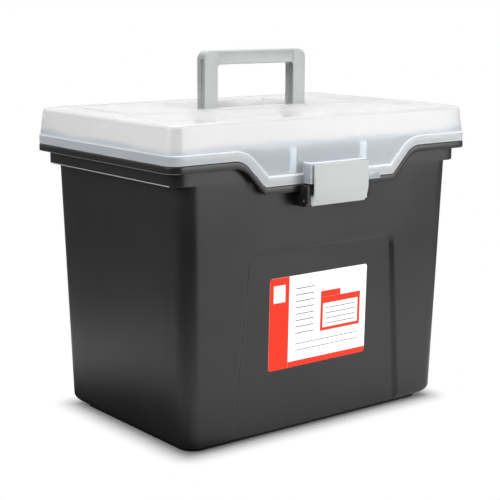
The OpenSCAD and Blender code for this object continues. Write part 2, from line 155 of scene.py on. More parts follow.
floor_half = 6.0
floor_mesh = bpy.data.meshes.new("floor")
floor_mesh.from_pydata(
    [(x * floor_half, y * floor_half, 0) for x, y in ((-1, -1), (1, -1), (1, 1), (-1, 1))],
    [], [(0, 1, 2, 3)])
floor = bpy.data.objects.new("floor", floor_mesh)
scene.collection.objects.link(floor)


def matt(tree, grey):
    """A matt shader in a grey that is a number or a socket."""
    node = tree.nodes.new("ShaderNodeBsdfDiffuse")
    if isinstance(grey, float):
        node.inputs["Color"].default_value = (grey, grey, grey, 1)
    else:
        tree.links.new(grey, node.inputs["Color"])
    return node.outputs[0]


floor_paint = bpy.data.materials.new("floor_paint")
floor_paint.use_nodes = True
tree = floor_paint.node_tree
tree.nodes.clear()
path = tree.nodes.new("ShaderNodeLightPath").outputs
place = place_on(tree)

# To the camera the floor is as white as the backdrop, but for the shadow round the box's foot.
foot_corner, shadow_grey, shadow_reach = (0.1425, 0.0908, 0), 0.45, 0.031
outside_foot = vector_maths(tree, "SUBTRACT", vector_maths(tree, "ABSOLUTE", place), foot_corner)
beside_foot = vector_maths(tree, "LENGTH", vector_maths(tree, "MAXIMUM", outside_foot, (0, 0, 0)))
white = tree.nodes.new("ShaderNodeEmission")
white.inputs["Strength"].default_value = 1
to_camera = mixed(tree, ramp(tree, beside_foot, -0.004, shadow_reach), matt(tree, shadow_grey),
                  white.outputs[0])

# What the black plastic mirrors is a grey studio floor. It is lit round the box, and also further
# out in front of it, right of a line from its near corner, and it grows dimmer towards the right.
# On the side away from the key light it lies in the box's shade.
away = vector_maths(tree, "LENGTH", place)
right_part = ramp(tree, towards(tree, place, (0.883, 0.469, 0)), -0.25, -0.16)
front_part = ramp(tree, towards(tree, place, (0, -1, 0)), 0.10, 0.20)
unlit = ramp(tree, maths(tree, "MULTIPLY", right_part, front_part), 0, 1, 1, 0)
shade_side = ramp(tree, towards(tree, place, (0.75, -0.66, 0)), -0.08, 0.06, 1, 0)
shaded = maths(tree, "MULTIPLY", ramp(tree, away, 0.17, 0.38, 1, 0), shade_side)
dimmer = ramp(tree, towards(tree, place, (1, 0, 0)), 0.25, 0.85, 0.95, 0.4)
near_grey = maths(tree, "MULTIPLY", ramp(tree, shaded, 0, 1, 1, 0.05), dimmer)
far_grey = ramp(tree, towards(tree, place, (-0.3, -0.95, 0)), 0.1, 0.4, 0.17, 0.05)
far_share = maths(tree, "MULTIPLY", ramp(tree, away, 0.22, 0.62), unlit)
to_box = mixed(tree, far_share, matt(tree, near_grey), matt(tree, far_grey))
tree.links.new(mixed(tree, path["Is Camera Ray"], to_box, to_camera),
               tree.nodes.new("ShaderNodeOutputMaterial").inputs["Surface"])
floor_mesh.materials.append(floor_paint)


# ---------------------------------------------------------------- Tub
# One injection moulding in black polypropylene with a fine satin grain. Its walls lean in
# towards the foot, and its rim, bead and side bands stiffen the top. Sizes are in millimetres.

MM = 0.001
rim_w, rim_d, rim_z, rim_r = 350.5, 228.0, 258.0, 12.0
scoop_half, scoop_drop, scoop_slope = 76.0, 25.0, math.radians(46)
scoop_low_r, scoop_top_r = 3.0, 22.0
scoop_low_z = rim_z - scoop_drop
wall_x, wall_y, wall_r, wall_lean, ledge_z = 158.4, 106.65, 15.0, 6.1, 239.5
band_x, band_r = 167.9, 12.0
plate_t, skirt_h = 2.6, 6.5
bead_in, bead_t, bead_h = 4.6, 2.6, 8.0
panel_top, panel_half, panel_foot_half = 176.0, 87.0, 103.0
panel_deep, panel_slope, panel_r = 3.0, 5.0, 10.0
foot_x, foot_y, foot_r, foot_z = 142.55, 90.8, 15.0, 4.5
rim_inner = rim_w / 2 - band_x + plate_t
shelf_z, shelf_dip, inside_top = ledge_z + plate_t, 0.4, 228
# how far the edges are rounded
bottom_r, foot_edge, band_edge, skirt_edge = 8.0, 0.8, 1.2, 0.8
rim_edge, bead_foot, bead_edge = 1.1, 0.5, 0.9

# how many points each stretch of a loop has
flat_n, low_n, slope_n, top_n, end_n = 20, 5, 8, 12, 8
corner_n, side_n, back_n = 8, 8, 12


def lerp(a, b, t):
    return a + (b - a) * t


def crowded(end, i, count):
    """The place of point i on a stretch from 0 to end, where the points crowd towards the end."""
    return end * (1 - (1 - i / count) ** 1.5)


def rim_half_line(d):
    """Right half of the line that the rim follows, d above it: a flat low stretch, a fillet,
    the slope of the scoop, a wider fillet and the level end. The counts never change with d."""
    half_tan = math.tan(scoop_slope / 2)
    low_r = max(scoop_low_r - d, 0.8)
    top_r = scoop_top_r + d
    low_c = (scoop_half - d * half_tan - low_r * half_tan, scoop_low_z + d + low_r)
    top_x = scoop_half + scoop_drop / math.tan(scoop_slope) - d * half_tan
    top_c = (top_x + top_r * half_tan, rim_z + d - top_r)
    low = [
        (low_c[0] + low_r * math.sin(a), low_c[1] - low_r * math.cos(a))
        for a in (scoop_slope * i / low_n for i in range(low_n + 1))
    ]
    top = [
        (top_c[0] - top_r * math.sin(a), top_c[1] + top_r * math.cos(a))
        for a in (scoop_slope * (1 - i / top_n) for i in range(top_n + 1))
    ]
    flat = [(crowded(low[0][0], i, flat_n), low[0][1]) for i in range(flat_n)]
    slope = [
        (lerp(low[-1][0], top[0][0], i / slope_n), lerp(low[-1][1], top[0][1], i / slope_n))
        for i in range(1, slope_n)
    ]
    return flat + low + slope + top


def ring(half_x, half_y, r, z, front, centre_y=0.0):
    """One closed loop of the shell, seen from above a rectangle with round corners. front is the
    right half of its front side as (x, z) points, run on to the corner; z is its height elsewhere."""
    r = max(r, 0.6)
    end_x = half_x - r
    x0, z0 = front[-1]
    level = [(lerp(x0, end_x, i / end_n), lerp(z0, z, i / end_n)) for i in range(1, end_n + 1)]
    half = list(front) + level
    points = [(-x, -half_y, h) for x, h in reversed(half[1:])] + [(x, -half_y, h) for x, h in half]
    side = half_y - r

    def corner(cx, cy, start):
        for i in range(1, corner_n):
            a = start + math.pi / 2 * i / corner_n
            points.append((cx + r * math.cos(a), cy + r * math.sin(a), z))

    corner(end_x, -side, -math.pi / 2)
    points.extend((half_x, lerp(-side, side, i / side_n), z) for i in range(side_n + 1))
    corner(end_x, side, 0)
    points.extend((lerp(end_x, -end_x, i / back_n), half_y, z) for i in range(back_n + 1))
    corner(-end_x, side, math.pi / 2)
    points.extend((-half_x, lerp(side, -side, i / side_n), z) for i in range(side_n + 1))
    corner(-end_x, -side, math.pi)
    return [(x, y + centre_y, h) for x, y, h in points]


def rim_ring(inset, d, hang=0.0):
    """A loop that follows the rim at a distance in from its edge, d above it and hang lower."""
    front = [(x, z - hang) for x, z in rim_half_line(d)]
    return ring(rim_w / 2 - inset, rim_d / 2 - inset, rim_r - inset, rim_z + d - hang, front)


def fillet(r, steps=4):
    """Steps of a quarter round as (in, up) pairs, from its foot to its end."""
    turn = [math.pi / 2 * i / steps for i in range(steps + 1)]
    return [(r * (1 - math.cos(a)), r * math.sin(a)) for a in turn]


def loft(name, rings, strip_materials):
    """Skins a list of loops with quads, closes both ends and returns the object in metres.
    strip_materials gives the material number of the strips that don't have the first one."""
    bm = bmesh.new()
    loops = [[bm.verts.new(p) for p in points] for points in rings]
    count = len(loops[0])
    for strip, (a, b) in enumerate(zip(loops, loops[1:])):
        for i in range(count):
            j = (i + 1) % count
            bm.faces.new((a[i], a[j], b[j], b[i])).material_index = strip_materials.get(strip, 0)
    bm.faces.new(list(reversed(loops[0])))
    bm.faces.new(loops[-1])
    bmesh.ops.remove_doubles(bm, verts=bm.verts, dist=0.002)
    bmesh.ops.dissolve_degenerate(bm, edges=bm.edges, dist=0.001)
    bmesh.ops.recalc_face_normals(bm, faces=bm.faces)
    return finish_mesh(name, bm)


def finish_mesh(name, bm):
    """Turns a mesh in millimetres into an object in metres with smooth faces."""
    bm.transform(Matrix.Scale(MM, 4))
    mesh = bpy.data.meshes.new(name)
    bm.to_mesh(mesh)
    bm.free()
    piece = bpy.data.objects.new(name, mesh)
    scene.collection.objects.link(piece)
    return shade(piece)


def shade(piece):
    """Shades the faces smooth, apart from edges sharper than 35 degrees."""
    for face in piece.data.polygons:
        face.use_smooth = True
    piece.data.set_sharp_from_angle(angle=math.radians(35))
    return piece


def prism(outline, axis, start, end, r=0.0, steps=2):
    """A solid with the given outline, drawn out along an axis. r rounds the edges of its ends.
    Along X the outline holds (y, z) points, and along Y (x, z) points."""
    bm = bmesh.new()

    def point(u, v, w):
        return {"x": (w, u, v), "y": (u, w, v)}[axis]

    lows = [bm.verts.new(point(u, v, start)) for u, v in outline]
    highs = [bm.verts.new(point(u, v, end)) for u, v in outline]
    bm.faces.new(lows)
    bm.faces.new(list(reversed(highs)))
    for i in range(len(outline)):
        j = (i + 1) % len(outline)
        bm.faces.new((lows[i], highs[i], highs[j], lows[j]))
    bmesh.ops.recalc_face_normals(bm, faces=bm.faces)
    if r:
        rims = [e for e in bm.edges if (e.verts[0] in lows) == (e.verts[1] in lows)]
        bmesh.ops.bevel(bm, geom=rims, offset=r, segments=steps, profile=0.5, affect="EDGES",
                        clamp_overlap=True)
    return finish_mesh("solid", bm)


def block(x0, x1, y0, y1, z0, z1, r=0.3, steps=2, edge_material=0):
    """A box with rounded edges, which may have a material number of their own."""
    bm = bmesh.new()
    bmesh.ops.create_cube(bm, size=1)
    bm.transform(Matrix.Translation(((x0 + x1) / 2, (y0 + y1) / 2, (z0 + z1) / 2))
                 @ Matrix.Diagonal((x1 - x0, y1 - y0, z1 - z0, 1)))
    if r:
        bmesh.ops.bevel(bm, geom=bm.edges[:], offset=r, segments=steps, profile=0.5, affect="EDGES")
    bmesh.ops.recalc_face_normals(bm, faces=bm.faces)
    bm.normal_update()
    for face in bm.faces:
        if max(abs(n) for n in face.normal) < 0.99:
            face.material_index = edge_material
    return finish_mesh("solid", bm)


def arc(cx, cz, r, start, end, steps=10):
    """Points of an arc, from one angle in degrees to another."""
    turn = [math.radians(lerp(start, end, i / steps)) for i in range(steps + 1)]
    return [(cx + r * math.cos(a), cz + r * math.sin(a)) for a in turn]


def rod(x0, x1, y, z, r, edge=0.0, steps=32):
    """A round rod along X."""
    return prism(arc(y, z, r, 0, 360 - 360 / steps, steps - 1), "x", x0, x1, edge)


def combine(piece, others, operation):
    """Adds solids to a piece, or cuts them out of it, and drops the solids."""
    for other in others:
        for material in piece.data.materials:
            other.data.materials.append(material)
        step = piece.modifiers.new("combine", "BOOLEAN")
        step.object = other
        step.operation = operation
        step.solver = "EXACT"
    settle(piece)
    for other in others:
        bpy.data.objects.remove(other)


def settle(piece):
    """Replaces a piece's mesh by what its modifiers make of it, and drops the modifiers."""
    bpy.context.view_layer.update()
    finished = piece.evaluated_get(bpy.context.evaluated_depsgraph_get())
    piece.data = bpy.data.meshes.new_from_object(finished)
    piece.modifiers.clear()
    piece.data.name = piece.name
    shade(piece)


def new_group(name, takes, gives, kind="ShaderNodeTree"):
    """A node group with the given inputs and outputs, each of them a name and a kind of socket."""
    group = bpy.data.node_groups.new(name, kind)
    for sockets, way in ((takes, "INPUT"), (gives, "OUTPUT")):
        for socket_name, socket_kind in sockets:
            group.interface.new_socket(socket_name, in_out=way, socket_type="NodeSocket" + socket_kind)
    return group, group.nodes.new("NodeGroupInput").outputs, group.nodes.new("NodeGroupOutput").inputs


def noise(tree, vector, scale, detail=2.0, rough=0.5):
    """A cloudy pattern from 0 to 1, finer as scale grows, which is a number or a socket."""
    node = tree.nodes.new("ShaderNodeTexNoise")
    node.inputs["Detail"].default_value = detail
    node.inputs["Roughness"].default_value = rough
    tree.links.new(vector, node.inputs["Vector"])
    if isinstance(scale, (int, float)):
        node.inputs["Scale"].default_value = scale
    else:
        tree.links.new(scale, node.inputs["Scale"])
    return node.outputs["Fac"]


def stretched(tree, vector, scale, turn=(0, 0, 0)):
    """A place turned and scaled along each axis, which draws a pattern out into lines."""
    node = tree.nodes.new("ShaderNodeMapping")
    node.inputs["Scale"].default_value = scale
    node.inputs["Rotation"].default_value = turn
    tree.links.new(vector, node.inputs["Vector"])
    return node.outputs[0]


def blend(tree, share, a, b):
    """Mixes two colours, each of them three numbers or a socket: a share of 0 gives a, 1 gives b."""
    node = tree.nodes.new("ShaderNodeMix")
    node.data_type = "RGBA"
    for key, value in (("Factor", share), ("A", a), ("B", b)):
        socket = next(i for i in node.inputs if i.name == key and i.enabled)
        if isinstance(value, (int, float)):
            socket.default_value = value
        elif isinstance(value, tuple):
            socket.default_value = (*value, 1)
        else:
            tree.links.new(value, socket)
    return next(o for o in node.outputs if o.enabled)


# What every moulded plastic here shares: a fine grain left by the mould, a faint change of tone
# from one area to the next, and the rubs and hairlines of use.
moulded, takes, gives = new_group(
    "moulded_surface",
    [("Place", "Vector"), ("Colour", "Color"), ("Other Colour", "Color"), ("Grain Fineness", "Float"),
     ("Roughness", "Float"), ("Unevenness", "Float"), ("Rubs", "Float")],
    [("Colour", "Color"), ("Roughness", "Float"), ("Height", "Float")],
)
grain = noise(moulded, takes["Place"], takes["Grain Fineness"], 3, 0.6)
tone = ramp(moulded, noise(moulded, takes["Place"], 11, 3, 0.55), 0.35, 0.65)
hairlines = noise(moulded, stretched(moulded, takes["Place"], (30, 260, 700), (0.3, 0.5, 0.2)), 1, 4, 0.6)
patches = ramp(moulded, noise(moulded, takes["Place"], 24), 0.5, 0.7)
rubs = maths(moulded, "MULTIPLY", ramp(moulded, hairlines, 0.6, 0.75), patches)
rubs = maths(moulded, "MULTIPLY", rubs, takes["Rubs"])
uneven = maths(moulded, "SUBTRACT", maths(moulded, "ADD", grain, tone), 1.0)
uneven = maths(moulded, "MULTIPLY", uneven, takes["Unevenness"])
roughness = maths(moulded, "ADD", maths(moulded, "ADD", takes["Roughness"], uneven), rubs, clamp=True)
height = maths(moulded, "SUBTRACT", grain, maths(moulded, "MULTIPLY", rubs, 2.0))
moulded.links.new(blend(moulded, tone, takes["Colour"], takes["Other Colour"]), gives["Colour"])
moulded.links.new(roughness, gives["Roughness"])
moulded.links.new(height, gives["Height"])


def new_material(name):
    """A material with its tree and its Principled shader."""
    material = bpy.data.materials.new(name)
    material.use_nodes = True
    return material, material.node_tree, material.node_tree.nodes["Principled BSDF"]


def relief(tree, shader, height, strength, depth):
    """Gives a shader a relief, depth metres high where height is 1."""
    bump = tree.nodes.new("ShaderNodeBump")
    bump.inputs["Strength"].default_value = strength
    bump.inputs["Distance"].default_value = depth
    tree.links.new(height, bump.inputs["Height"])
    tree.links.new(bump.outputs[0], shader.inputs["Normal"])


def plastic(name, colour, other, fineness, roughness, unevenness, rubs, bump, depth=0.0002):
    """A moulded plastic, whose tone wanders between two colours."""
    material, tree, shader = new_material(name)
    surface = tree.nodes.new("ShaderNodeGroup")
    surface.node_tree = moulded
    tree.links.new(place_on(tree), surface.inputs["Place"])
    for key, value in (("Colour", (*colour, 1)), ("Other Colour", (*other, 1)),
                       ("Grain Fineness", fineness), ("Roughness", roughness),
                       ("Unevenness", unevenness), ("Rubs", rubs)):
        surface.inputs[key].default_value = value
    tree.links.new(surface.outputs["Colour"], shader.inputs["Base Color"])
    tree.links.new(surface.outputs["Roughness"], shader.inputs["Roughness"])
    relief(tree, shader, surface.outputs["Height"], bump, depth)
    return material, tree, shader


def tint(tree, shader, share, colour):
    """Blends the base colour that a shader has towards another one."""
    body_colour = shader.inputs["Base Color"].links[0].from_socket
    tree.links.new(blend(tree, share, body_colour, colour), shader.inputs["Base Color"])


def wall_at(z):
    """How far the leaning walls stand in at a height."""
    return wall_lean * (1 - z / ledge_z)


def panel_depth(x, z):
    """How deep the front wall is sunk at a point: the panel's rounded outline, open below."""
    lean = (panel_foot_half - panel_half) / panel_top
    beside = (abs(x) - panel_half - lean * (panel_top - z)) * math.cos(math.atan(lean)) + panel_r
    above = z - panel_top + panel_r
    outside = math.hypot(max(beside, 0), max(above, 0)) + min(max(beside, above), 0) - panel_r
    t = min(max(-outside / panel_slope, 0), 1)
    return panel_deep * (0.5 * t + 0.5 * t * t * (3 - 2 * t))


def front_columns(z, top_line):
    """Half the front wall's points at a height: below the panel's top they run beside its
    slope, and above it they close up to the columns of the rim."""
    lean = (panel_foot_half - panel_half) / panel_top
    outer = panel_half + lean * (panel_top - min(z, panel_top))
    inner = outer - panel_slope
    rise = min(max((z - panel_top) / (ledge_z - panel_top), 0), 1)
    columns = []
    for i, (x, _) in enumerate(top_line):
        if i < flat_n:
            place = crowded(inner, i, flat_n)
        elif i <= flat_n + low_n:
            place = lerp(inner, outer, (i - flat_n) / low_n)
        else:
            share = (i - flat_n - low_n) / (len(top_line) - flat_n - low_n - 1)
            place = lerp(outer, top_line[-1][0] + 2, share)
        columns.append(lerp(place, x, rise))
    return columns


def wall_ring(z, skin=0.0, shrink=0.0):
    """A loop of the leaning walls at height z. skin is the wall's thickness where the loop runs
    inside, and shrink draws it in round the bottom edge."""
    top_line = [(x, h - skirt_h) for x, h in rim_half_line(0)]
    share = max(z - panel_top, 0) / (ledge_z - panel_top)
    front = [
        (x, lerp(min(z, panel_top), min(top, ledge_z), share) if share else z)
        for x, (_, top) in zip(front_columns(z, top_line), top_line)
    ]
    inwards = wall_at(z) + skin + shrink
    points = ring(wall_x - inwards, wall_y - inwards, wall_r - skin, z, front)
    front_count = 2 * (len(front) + end_n) - 1
    for i, (x, _, h) in enumerate(points[:front_count]):
        points[i] = (x, wall_at(h) + skin - wall_y + max(shrink, panel_depth(x, h)), h)
    return points


def foot_ring(inset, r, z):
    """A loop of the foot, a rectangle with round corners that is set in under the walls."""
    half_x = foot_x - inset
    count = len(rim_half_line(0))
    front = [((half_x - r) * 0.9 * i / (count - 1), z) for i in range(count)]
    return ring(half_x, foot_y - inset, r, z, front)


# the numbers of the tub's plastics
BLACK, BAND_HIGHLIGHT, SKIRT_HIGHLIGHT = range(3)


def tub_shell():
    """The tub's skin, from the foot up the outside, over the rim and the bead and down inside."""
    rings, strip_materials = [], {}
    for inwards, up in reversed(fillet(foot_edge, 3)):
        rings.append(foot_ring(foot_edge - up, foot_r, inwards))
    rings.append(foot_ring(0, foot_r, foot_z))
    # the round bottom edge and the walls, with more loops where the sunken panel ends
    for inwards, up in reversed(fillet(bottom_r, 7)):
        rings.append(wall_ring(foot_z + bottom_r - up, shrink=inwards))
    levels = [20, 40, 65, 90, 115, 140, 158] + [160 + 1.6 * i for i in range(12)]
    levels += [184, 192, 202, 212, 222, 231, ledge_z]
    for z in levels:
        rings.append(wall_ring(z))
    # the side bands, flush with the front and the back
    skirt_line = [(x, min(z - skirt_h, ledge_z)) for x, z in rim_half_line(0)]
    # the lower edge of the bands gets a painted highlight line
    strip_materials.update({len(rings) + i: BAND_HIGHLIGHT for i in range(-1, 5)})
    for inwards, up in reversed(fillet(band_edge, 5)):
        height = band_edge - up
        front = [(x, z + 0.2 + height * 0.5) for x, z in skirt_line]
        rings.append(ring(band_x - inwards, wall_y, band_r, ledge_z + height, front))
    rings.append(ring(band_x, wall_y, band_r, rim_z - plate_t, rim_half_line(-plate_t)))
    # the rim with its skirt
    rings.append(rim_ring(plate_t, -plate_t))
    rings.append(rim_ring(plate_t, 0, skirt_h))
    # the lower edge of the rim's skirt gets a dimmer painted highlight line
    strip_materials.update({len(rings) + i: SKIRT_HIGHLIGHT for i in range(1, 4)})
    for inwards, up in reversed(fillet(skirt_edge, 4)):
        rings.append(rim_ring(inwards, 0, skirt_h - skirt_edge + up))
    for inwards, up in fillet(rim_edge, 4):
        rings.append(rim_ring(inwards, up - rim_edge))
    # the bead that the lid closes over
    for inwards, up in reversed(fillet(bead_foot, 2)):
        rings.append(rim_ring(bead_in - inwards, bead_foot - up))
    for inwards, up in fillet(bead_edge, 3):
        rings.append(rim_ring(bead_in + inwards, bead_h - bead_edge + up))
    for inwards, up in reversed(fillet(bead_edge, 3)):
        rings.append(rim_ring(bead_in + bead_t - inwards, bead_h - bead_edge + up))
    rings.append(rim_ring(bead_in + bead_t, 0))
    rings.append(rim_ring(rim_inner - 0.5, 0))
    rings.append(rim_ring(rim_inner, -0.6))
    # inside: the channel for the folders' hooks over the ledge, the walls and the floor
    shelf_line = [(x, min(z - skirt_h - shelf_dip, shelf_z)) for x, z in rim_half_line(0)]
    rings.append(ring(band_x - plate_t, wall_y - plate_t, band_r - plate_t, shelf_z, shelf_line))
    rings.append(ring(wall_x - plate_t, wall_y - plate_t, wall_r - plate_t, shelf_z,
                      [(x, z - shelf_dip) for x, z in shelf_line]))
    for z in reversed(levels):
        if z < inside_top:
            rings.append(wall_ring(z, plate_t))
    inner_r = bottom_r - plate_t
    for inwards, up in fillet(inner_r, 5):
        rings.append(wall_ring(foot_z + plate_t + inner_r - up, plate_t, inwards))
    rings.append(foot_ring(plate_t, foot_r - plate_t, foot_z + plate_t))
    rings.append(foot_ring(plate_t, foot_r - plate_t, plate_t + 0.4))
    rings.append(foot_ring(plate_t + 0.4, foot_r - plate_t - 0.4, plate_t))
    return loft("tub_shell", rings, strip_materials)


black_plastic, tree, shader = plastic(
    "black_satin_plastic", (0.0125, 0.0115, 0.0115), (0.0155, 0.0145, 0.0145),
    fineness=1500, roughness=0.31, unevenness=0.05, rubs=0.06, bump=0.10)
shader.inputs["Specular IOR Level"].default_value = 0.47
# painted highlights: a light grey line along the lower edge of the bands, and a dimmer one along the
# rim's skirt
highlight_look = {"fineness": 1500, "roughness": 0.45, "unevenness": 0.10, "rubs": 0.10, "bump": 0.10}
band_highlight_plastic = plastic("band_highlight_black_plastic", (0.42, 0.415, 0.41), (0.48, 0.475, 0.47), **highlight_look)[0]
skirt_highlight_plastic = plastic("skirt_highlight_black_plastic", (0.15, 0.148, 0.146), (0.18, 0.178, 0.176), **highlight_look)[0]

tub = tub_shell()
for material in (black_plastic, band_highlight_plastic, skirt_highlight_plastic):
    tub.data.materials.append(material)
# only the sides carry the painted highlight lines
for face in tub.data.polygons:
    if abs(face.center.x) < (band_x - 1.4) * MM:
        face.material_index = BLACK

# the ears that hold the latch, the hinge knuckles at the back and the rails for the folders; the
# ears and knuckles start inside the walls
root_y = wall_y - 1.05
pivot_y, pivot_z = -118.5, 218.5
ear_in, ear_t, ear_r, ear_bore_r = 33.9, 4.0, 5.2, 1.53
hinge_x, hinge_y, hinge_z, hinge_half = 95.0, 123.8, 257.5, 15.4
tub_knuckle_w, knuckle_r, hinge_bore_r = 5.0, 5.2, 2.23
rail_half, rail_low, rail_top = 92.05, 239.0, 246.6
ear = ([(-root_y, pivot_z - ear_r), (-root_y, scoop_low_z - 0.5), (pivot_y - ear_r, scoop_low_z - 0.5)]
       + arc(pivot_y, pivot_z, ear_r, 180, 270, 8))
tub_knuckle = ([(root_y, rim_z), (root_y, hinge_z - knuckle_r)]
               + arc(hinge_y, hinge_z, knuckle_r, -90, 175, 24))
extras, bores = [], []
for side in (-1, 1):
    x0, x1 = sorted((side * ear_in, side * (ear_in + ear_t)))
    extras.append(prism(ear, "x", x0, x1, 0.5))
    bores.append(rod(x0 - 1, x1 + 1, pivot_y, pivot_z, ear_bore_r))
    for inner in (-hinge_half, hinge_half - tub_knuckle_w):
        x0, x1 = sorted((side * (hinge_x + inner), side * (hinge_x + inner + tub_knuckle_w)))
        extras.append(prism(tub_knuckle, "x", x0, x1, 0.4))
        bores.append(rod(x0 - 1, x1 + 1, hinge_y, hinge_z, hinge_bore_r))
    x0, x1 = sorted((side * (wall_x - plate_t), side * wall_x))
    extras.append(block(x0, x1, -rail_half, rail_half, rail_low, rail_top, 0.7))
combine(tub, extras, "UNION")
combine(tub, bores, "DIFFERENCE")

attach(tub, "tub_body")
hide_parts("tub")


# ---------------------------------------------------------------- Lid
# One injection moulding in natural, milky-clear polypropylene, so that the tray shows through.
# Its lip closes over the bead, its apron fills the scoop, and a bed in its top takes the handle.

lid_top, lid_corner, lid_lean, lid_t = 292.0, 4.5, 1.9, 1.8
lid_foot, lean_start, lid_shoulder = 268.5, 266.5, lid_top - lid_corner
lip_h, seat_gap, lid_in = 9.0, 0.3, 1.4
pad_half, pad_front, pad_back, pad_h, pad_r = 146.0, -18.0, 84.0, 1.0, 3.0
bed_half, bed_front, bed_back, bed_z, bed_r = 61.1, -3.96, 64.6, 284.4, 2.0
# how far the edges are rounded
bed_edge, bed_rim, pad_edge, lip_top, lip_outer, lip_inner = 0.8, 0.7, 0.6, 1.0, 0.4, 0.3
# the numbers of the lid's plastics
CLEAR, EDGE, APRON, LIP, RIB = range(5)


def lid_ring(z, inset):
    """A level loop of the lid's wall, with the same columns as its lip."""
    inset += lid_lean * min(max((z - lean_start) / (lid_shoulder - lean_start), 0), 1)
    front = [(x, z) for x, _ in rim_half_line(lip_h)]
    return ring(rim_w / 2 - inset, rim_d / 2 - inset, rim_r - lid_in, z, front)


def shoulder_ring(inwards, up, inset=0.0):
    """A loop of the round edge between the lid's wall and its top."""
    front = [(x, lid_shoulder + up) for x, _ in rim_half_line(lip_h)]
    total = lid_in + lid_lean + inset + inwards
    return ring(rim_w / 2 - total, rim_d / 2 - total, rim_r - lid_in - inwards * 0.4,
                lid_shoulder + up, front)


def apron_ring(d, share, inset):
    """A loop of the apron: it rises from the lip's line to a level line above the scoop."""
    front = [(x, lerp(z, lid_foot, share)) for x, z in rim_half_line(d)]
    return ring(rim_w / 2 - inset, rim_d / 2 - inset, rim_r - lid_in,
                lerp(rim_z + d, lid_foot, share), front)


def top_ring(form, inwards, r, z):
    """A loop of the lid's top: a rectangle with round corners, drawn in from the edge of a form,
    which is half its width, its front and its back."""
    half_x, front_y, back_y = form[0] - inwards, form[1] + inwards, form[2] - inwards
    columns = rim_half_line(lip_h)
    shrink = (half_x - r) * 0.9 / columns[-1][0]
    front = [(x * shrink, z) for x, _ in columns]
    return ring(half_x, (back_y - front_y) / 2, r, z, front, (front_y + back_y) / 2)


def lid_shell():
    """The lid's skin, from the floor of its bed over the top and down to the lip, and back inside."""
    rings = []
    bed, pad = (bed_half, bed_front, bed_back), (pad_half, pad_front, pad_back)
    for inwards, up in reversed(fillet(bed_edge, 3)):
        rings.append(top_ring(bed, inwards, bed_r, bed_z + bed_edge - up))
    # the pad, a little higher than the rest of the top, with the bed sunk in it
    pad_z = lid_top + pad_h
    for outwards, up in fillet(bed_rim, 4):
        rings.append(top_ring(bed, -outwards, bed_r + outwards, pad_z - bed_rim + up))
    for inwards, up in reversed(fillet(pad_edge, 3)):
        rings.append(top_ring(pad, inwards, pad_r, pad_z - pad_edge + up))
    rings.append(top_ring(pad, 0, pad_r, lid_top + 0.2))
    rings.append(top_ring(pad, -0.3, pad_r + 0.3, lid_top))
    # the wall, the apron and the lip, down the outside
    for inwards, up in reversed(fillet(lid_corner, 7)):
        rings.append(shoulder_ring(inwards, up))
    for z in (281, 275):
        rings.append(lid_ring(z, lid_in))
    strip_materials = {len(rings) + i: APRON for i in range(4)}
    for share in (1, 0.75, 0.5, 0.25, 0.03):
        rings.append(apron_ring(lip_h, share, lid_in))
    strip_materials.update({len(rings) - 1 + i: EDGE for i in range(5)})
    for inwards, up in reversed(fillet(lip_top, 4)):
        rings.append(rim_ring(seat_gap + inwards, lip_h - lip_top + up))
    strip_materials[len(rings) - 1] = LIP
    strip_materials.update({len(rings) + i: EDGE for i in range(3)})
    for inwards, up in fillet(lip_outer, 3):
        rings.append(rim_ring(seat_gap + inwards, seat_gap + lip_outer - up))
    for inwards, up in reversed(fillet(lip_inner, 2)):
        rings.append(rim_ring(lid_in + lid_t - inwards, seat_gap + lip_inner - up))
    # up the inside and over the bed's underside
    for share in (0.1, 0.4, 0.7, 1):
        rings.append(apron_ring(seat_gap, share, lid_in + lid_t))
    for z in (275, 281):
        rings.append(lid_ring(z, lid_in + lid_t))
    for inwards, up in fillet(lid_corner - lid_t, 5):
        rings.append(shoulder_ring(inwards, up, lid_t))
    under_bed, under_r = bed_z - lid_t, bed_r + 1.5
    rings.append(top_ring(bed, -lid_t, under_r, lid_top - lid_t))
    rings.append(top_ring(bed, -lid_t, under_r, under_bed + bed_edge))
    rings.append(top_ring(bed, bed_edge - lid_t, under_r - 0.5, under_bed))
    return loft("lid_shell", rings, strip_materials)


# The lid's plastic is one, but it looks clearer or whiter from place to place, by how much light
# gathers in it and what lies behind it.
def milky(name, colour, other, roughness, transmission, at_sides=None):
    """A milky plastic with a pale shadow. at_sides is a darker colour painted along the lid's two sides
    as shade.
    """
    material, tree, shader = plastic(name, colour, other, fineness=700, roughness=roughness,
                                     unevenness=0.03, rubs=0.01, bump=0.02, depth=0.0001)
    shader.inputs["Transmission Weight"].default_value = transmission
    shader.inputs["IOR"].default_value = 1.49
    shader.inputs["Specular IOR Level"].default_value = 0.22
    path = tree.nodes.new("ShaderNodeLightPath").outputs
    tree.links.new(ramp(tree, path["Is Shadow Ray"], 0, 1, 1, 0.2), shader.inputs["Alpha"])
    if at_sides:
        # painted shade along the lid's two sides
        beside = maths(tree, "ABSOLUTE", towards(tree, place_on(tree), (1, 0, 0)))
        tint(tree, shader, ramp(tree, beside, 0.166, 0.1742), at_sides)
    return material, tree, shader


clear_plastic, tree, shader = milky(
    "milky_clear_plastic", (0.79, 0.787, 0.785), (0.81, 0.807, 0.805), 0.22, 0.62)
# painted shade: towards the lip the tray no longer shows behind the wall, so the colour is painted darker
# and bluer there
place = place_on(tree)
wavering = maths(tree, "MULTIPLY", noise(tree, place, 16), 0.009)
level = maths(tree, "ADD", towards(tree, place, (0, 0, 1)), wavering)
tint(tree, shader, ramp(tree, level, 0.2722, 0.2785, 1, 0), (0.62, 0.66, 0.70))
